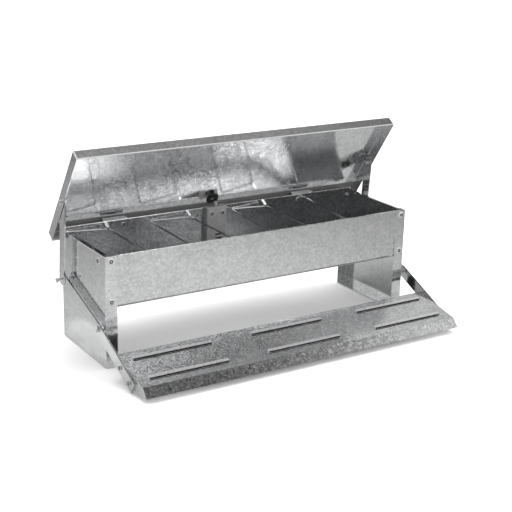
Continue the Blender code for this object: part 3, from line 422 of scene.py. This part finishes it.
ZINC_PANEL = galvanised("galvanised_panel", zinc(0.64), zinc(0.86), (0.05, 0.15), 0.02, 0.01)
ZINC_TREADLE = galvanised("galvanised_treadle", zinc(0.56), zinc(0.86), (0.10, 0.21), 0.055, 0.008,
                          cell=0.003, calm=True)
ZINC_LID = galvanised("galvanised_lid", zinc(0.68), zinc(0.92), (0.08, 0.18), 0.012, 0.008, cell=0.004)
ZINC_INSIDE = galvanised("galvanised_trough", zinc(0.60), zinc(0.84), (0.10, 0.25), 0.018, 0.006)
DAMPER_GREY = galvanised("damper_grey", grey(0.50), grey(0.62), (0.35, 0.5), 0.05, 0.02, metallic=0.3)
BRIGHT = plain("bright_zinc", zinc(0.78), zinc(0.93), (0.12, 0.24), 0.75)
RING = plain("rivet_aluminium", grey(0.84), grey(0.96), (0.25, 0.40), 0.35)
WIRE = plain("zinc_wire", (0.42, 0.42, 0.43), (0.58, 0.58, 0.59), (0.10, 0.24), 1.0)
DARK_ZINC = plain("dull_zinc", zinc(0.30), zinc(0.42), (0.24, 0.40), 1.0)
# Painted shade: a near-black matt colour for the insides of the treadle's louvres and the rivets' hollows,
# where shade falls
SHADE = plain("slot_shade", grey(0.004), grey(0.009), (0.85, 0.95), 0.0)
# Painted highlight: a paler, rougher and less metallic zinc for the grip beads' raised faces, so their tops
# read as lit
BEAD_HIGHLIGHT = plain("pressed_bead", zinc(0.80), zinc(0.88), (0.26, 0.32), 0.66)
RUBBER = plain("black_rubber", (0.010, 0.010, 0.011), (0.016, 0.016, 0.017), (0.42, 0.58), 0.0)
PLASTIC = plain("white_plastic", (0.56, 0.56, 0.54), (0.66, 0.66, 0.64), (0.34, 0.46), 0.0)
dress_lid(ZINC_LID)

# The first words found in a node's name give its finish, and what has none of them is panel sheet
FINISHES = (
    (("damper_cap", "lid_bumper"), RUBBER),
    (("damper_plunger",), PLASTIC),
    (("damper_housing",), DAMPER_GREY),
    # The hinge leaves take the dark zinc as painted shade for the dark gap under the lid's back edge
    (("hinge_leaf", "damper_cylinder", "bumper_disc"), DARK_ZINC),
    (("grille_wire",), WIRE),
    (("rivet",), RING),
    (("bolt", "nut", "spacer", "pin"), BRIGHT),
    (("treadle_plate",), ZINC_TREADLE),
    (("trough",), ZINC_INSIDE),
)


def finish_of(name):
    if name == "lid":
        return ZINC_LID
    return next((finish for words, finish in FINISHES if any(word in name for word in words)), ZINC_PANEL)


def smooth(mesh, crease):
    mesh.polygons.foreach_set("use_smooth", [True] * len(mesh.polygons))
    mesh.set_sharp_from_angle(angle=crease)


def finish_nodes():
    for name, piece in NODES.items():
        piece.data.materials.clear()
        piece.data.materials.append(finish_of(name))
        smooth(piece.data, SHEET_CREASE)


# The treadle plate
def sheltered_faces(mesh, reach):
    """Faces inside narrow slots: something lies within reach both above and below them."""
    mesh.calc_loop_triangles()
    points = [v.co.copy() for v in mesh.vertices]
    tree = BVHTree.FromPolygons(points, [tuple(t.vertices) for t in mesh.loop_triangles])
    up = Vector((0, 0, 1))
    found = []
    for face in mesh.polygons:
        start = face.center + face.normal * SLOT_PROBE
        if tree.ray_cast(start, up, reach)[0] and tree.ray_cast(start, -up, reach)[0]:
            found.append(face.index)
    return found


def raised_faces(mesh, rise):
    """Faces that stand more than rise above the mesh's largest face that looks up."""
    base = max(mesh.polygons, key=lambda face: face.area * (face.normal.z > LOOKS_UP))
    return [face.index for face in mesh.polygons if (face.center - base.center).dot(base.normal) > rise]


def build_dressed_treadle():
    """The treadle plate again, with a painted highlight on its grip beads' tops and painted shade inside its
    louvres.
    """
    source = NODES["treadle_plate"]
    mesh = source.data.copy()
    mesh.name = "treadle_plate_dressed"
    mesh.materials.append(BEAD_HIGHLIGHT)
    # The beads' raised faces take the painted highlight
    for index in raised_faces(mesh, BEAD_RISE):
        mesh.polygons[index].material_index = len(mesh.materials) - 1
    mesh.materials.append(SHADE)
    # Faces inside the louvres' slots take the painted shade
    for index in sheltered_faces(mesh, SLOT_REACH):
        mesh.polygons[index].material_index = len(mesh.materials) - 1
    dressed = bpy.data.objects.new("treadle_plate_dressed", mesh)
    bpy.context.scene.collection.objects.link(dressed)
    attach(dressed, "treadle")
    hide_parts("treadle_plate")


# Rivets
def outward(name):
    """The way a blind rivet's head faces, by the sheet it sits in."""
    if name.startswith(("front_rivet", "damper_rivet", "hinge_rivet_body")):
        return Vector((0, -1, 0))
    if name.startswith("rear_rivet"):
        return Vector((0, 1, 0))
    if name.startswith(("side_rivet", "arm_rivet")):
        return Vector((-1 if "left" in name else 1, 0, 0))
    return None


def outer_spot(way, box, centre):
    """The point level with the centre on the side of the box that way looks out of."""
    low, high = box
    return Vector([high[i] if way[i] > 0 else low[i] if way[i] < 0 else centre[i] for i in range(3)])


def seat_on_rivet(rivet, ending, mesh, box):
    """Makes a piece of a mesh that rises along +Z, and seats it on a box's side over a rivet."""
    way = outward(rivet)
    piece = bpy.data.objects.new(rivet + ending, mesh)
    piece.location = outer_spot(way, box, sum(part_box(rivet), Vector()) / 2)
    piece.rotation_euler = way.to_track_quat("Z", "Y").to_euler()
    bpy.context.scene.collection.objects.link(piece)
    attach(piece, BODY_OF[rivet])


def build_rivet_rim(rivet):
    """The bright low rim that the rivet's head presses into the sheet."""
    profile = (
        (RIM_RADIUS, CORE_LIFT),
        ((RIM_RADIUS + RIM_INNER) / 2, RIM_RISE * RIM_SHOULDER_SHARE),
        (RIM_INNER, RIM_RISE),
    )
    angles = [math.tau * i / RIM_SIDES for i in range(RIM_SIDES)]
    bm = bmesh.new()
    rings = [[bm.verts.new((radius * math.cos(a), radius * math.sin(a), level)) for a in angles]
             for radius, level in profile]
    for outer, inner in zip(rings, rings[1:]):
        for i in range(RIM_SIDES):
            j = (i + 1) % RIM_SIDES
            bm.faces.new((outer[i], outer[j], inner[j], inner[i]))
    mesh = bpy.data.meshes.new(rivet + "_rim")
    bm.to_mesh(mesh)
    bm.free()
    smooth(mesh, RIM_CREASE)
    mesh.materials.append(RING)
    seat_on_rivet(rivet, "_rim", mesh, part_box("end_panel_left" if "left" in rivet else "end_panel_right"))


def build_rivet_core(rivet):
    """A flat disc with painted shade for the hollow in the middle of a blind rivet's head, with the end of
    its pin in it.
    """
    bm = bmesh.new()
    for radius, level in ((CORE_RADIUS, CORE_LIFT), (CORE_PIN_RADIUS, 2 * CORE_LIFT)):
        ring = bmesh.ops.create_circle(bm, cap_ends=True, radius=radius, segments=CORE_SIDES)["verts"]
        bmesh.ops.translate(bm, verts=ring, vec=(0, 0, level))
    mesh = bpy.data.meshes.new(rivet + "_core")
    bm.to_mesh(mesh)
    bm.free()
    # The disc takes the painted shade; its small upper face, the pin's end, takes the bright zinc
    mesh.materials.append(SHADE)
    mesh.materials.append(BRIGHT)
    mesh.polygons[1].material_index = 1
    seat_on_rivet(rivet, "_core", mesh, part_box(rivet))


def dress_rivets():
    for name in NODES:
        if "rivet" in name and outward(name):
            build_rivet_core(name)
        if name.startswith(RIMMED_RIVETS):
            build_rivet_rim(name)


# The studio
def camera_share(tree):
    return node(tree, "ShaderNodeLightPath").outputs["Is Camera Ray"]


def build_floor():
    """A pale floor with a painted fall-off of light and painted patches of shadow and light for the metal.
    The camera sees it white with the feeder's soft shadow, cast by the lamps and deepened by painted shadow
    below the trough.
    """
    bm = bmesh.new()
    bmesh.ops.create_grid(bm, x_segments=1, y_segments=1, size=FLOOR_SIZE)
    mesh = bpy.data.meshes.new("studio_floor")
    bm.to_mesh(mesh)
    bm.free()
    floor = bpy.data.objects.new("studio_floor", mesh)
    floor.location = (0, 0, -FLOOR_DROP)
    material = bpy.data.materials.new("floor_white")
    material.use_nodes = True
    tree = material.node_tree
    where = node(tree, "ShaderNodeTexCoord").outputs["Object"]
    # The metal sees the floor with a painted fall-off of light away from its centre
    levels = level_ramp(tree, vector_math(tree, "DISTANCE", where, FLOOR_CENTRE), FLOOR_PAINTED_FALLOFF)
    # Painted shadow under the treadle and painted light by the left panel's foot, as the metal sees the floor
    for centre, reach, level in FLOOR_PAINTED_PATCHES:
        levels = blend_colours(tree, soft_lump(tree, where, centre, reach, FLOOR_PAINTED_PATCH_RIM), levels, level)
    # Painted shadow on the floor below the trough, for the camera
    dim = soft_lump(tree, where, FLOOR_PAINTED_SHADOW_CENTRE, FLOOR_PAINTED_SHADOW_REACH, FLOOR_PAINTED_SHADOW_RIM)
    direct = blend_colours(tree, dim, FLOOR_FOR_CAMERA, FLOOR_PAINTED_SHADOW)
    matte = node(tree, "ShaderNodeBsdfDiffuse")
    feed(tree, matte.inputs["Color"], blend_colours(tree, camera_share(tree), levels, direct))
    feed(tree, tree.nodes["Material Output"].inputs["Surface"], matte.outputs[0])
    mesh.materials.append(material)
    bpy.context.scene.collection.objects.link(floor)


def build_world():
    """White behind the feeder; around it a room that is bright low down, dim above, uneven in front."""
    world = bpy.data.worlds.new("studio")
    bpy.context.scene.world = world
    world.use_nodes = True
    tree = world.node_tree
    where = node(tree, "ShaderNodeTexCoord").outputs["Generated"]
    parts = node(tree, "ShaderNodeSeparateXYZ")
    feed(tree, parts.inputs[0], where)
    x, y, z = parts.outputs

    around = tree.nodes["Background"]
    left = map_range(tree, x, LEFT_EDGE, (1, 0))
    room = blend_colours(tree, left, level_ramp(tree, z, ROOM_LEVELS), LEFT_LEVEL)
    feed(tree, around.inputs["Color"], room)
    bearing = value_math(tree, "DIVIDE", x, value_math(tree, "MULTIPLY", y, -1))
    front = map_range(tree, y, SIDE_EDGE, (1, 0))
    side = blend_colours(tree, front, 1.0, level_ramp(tree, bearing, SIDE_LEVELS))
    feed(tree, around.inputs["Strength"], side)

    seen = node(tree, "ShaderNodeBackground")
    seen.inputs["Color"].default_value = (*grey(1), 1)
    seen.inputs["Strength"].default_value = 1.0
    mix = node(tree, "ShaderNodeMixShader")
    feed(tree, mix.inputs["Fac"], camera_share(tree))
    feed(tree, mix.inputs[1], around.outputs["Background"])
    feed(tree, mix.inputs[2], seen.outputs["Background"])
    feed(tree, tree.nodes["World Output"].inputs["Surface"], mix.outputs["Shader"])


def build_lamps():
    for name, (place, aim, size, watts, mirrored) in LAMPS.items():
        lamp = bpy.data.lights.new(name, "AREA")
        lamp.shape = "RECTANGLE"
        lamp.size, lamp.size_y = size
        lamp.energy = watts
        holder = bpy.data.objects.new(name, lamp)
        holder.location = place
        holder.rotation_euler = (Vector(aim) - Vector(place)).to_track_quat("-Z", "Y").to_euler()
        holder.visible_glossy = mirrored
        bpy.context.scene.collection.objects.link(holder)


def build_camera():
    """The photo's camera."""
    camera_data = bpy.data.cameras.new("camera")
    camera = bpy.data.objects.new("camera", camera_data)
    bpy.context.scene.collection.objects.link(camera)
    bpy.context.scene.camera = camera
    camera_data.sensor_width = SENSOR_WIDTH
    camera_data.lens = CAMERA_FOCAL_PIXELS / PHOTO_WIDTH_PIXELS * SENSOR_WIDTH
    camera_data.clip_start = CLIP_NEAR
    camera_data.clip_end = CLIP_FAR
    sin_yaw, cos_yaw = math.sin(CAMERA_YAW), math.cos(CAMERA_YAW)
    sin_pitch, cos_pitch = math.sin(CAMERA_PITCH), math.cos(CAMERA_PITCH)
    forward = Vector((sin_yaw * cos_pitch, cos_yaw * cos_pitch, -sin_pitch))
    right = Vector((cos_yaw, -sin_yaw, 0))
    up = right.cross(forward)
    level = right * math.cos(CAMERA_ROLL) + up * math.sin(CAMERA_ROLL)
    rise = up * math.cos(CAMERA_ROLL) - right * math.sin(CAMERA_ROLL)
    camera.rotation_euler = Matrix((level, rise, -forward)).transposed().to_euler()
    panel_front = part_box("end_panel_left")[0].y
    camera.location = CAMERA_PLACE + Vector((0, panel_front, 0))


finish_nodes()
build_dressed_treadle()
dress_rivets()
build_floor()
build_world()
build_lamps()
build_camera()
scene = bpy.context.scene
scene.view_settings.view_transform = "Standard"
write_bounds()
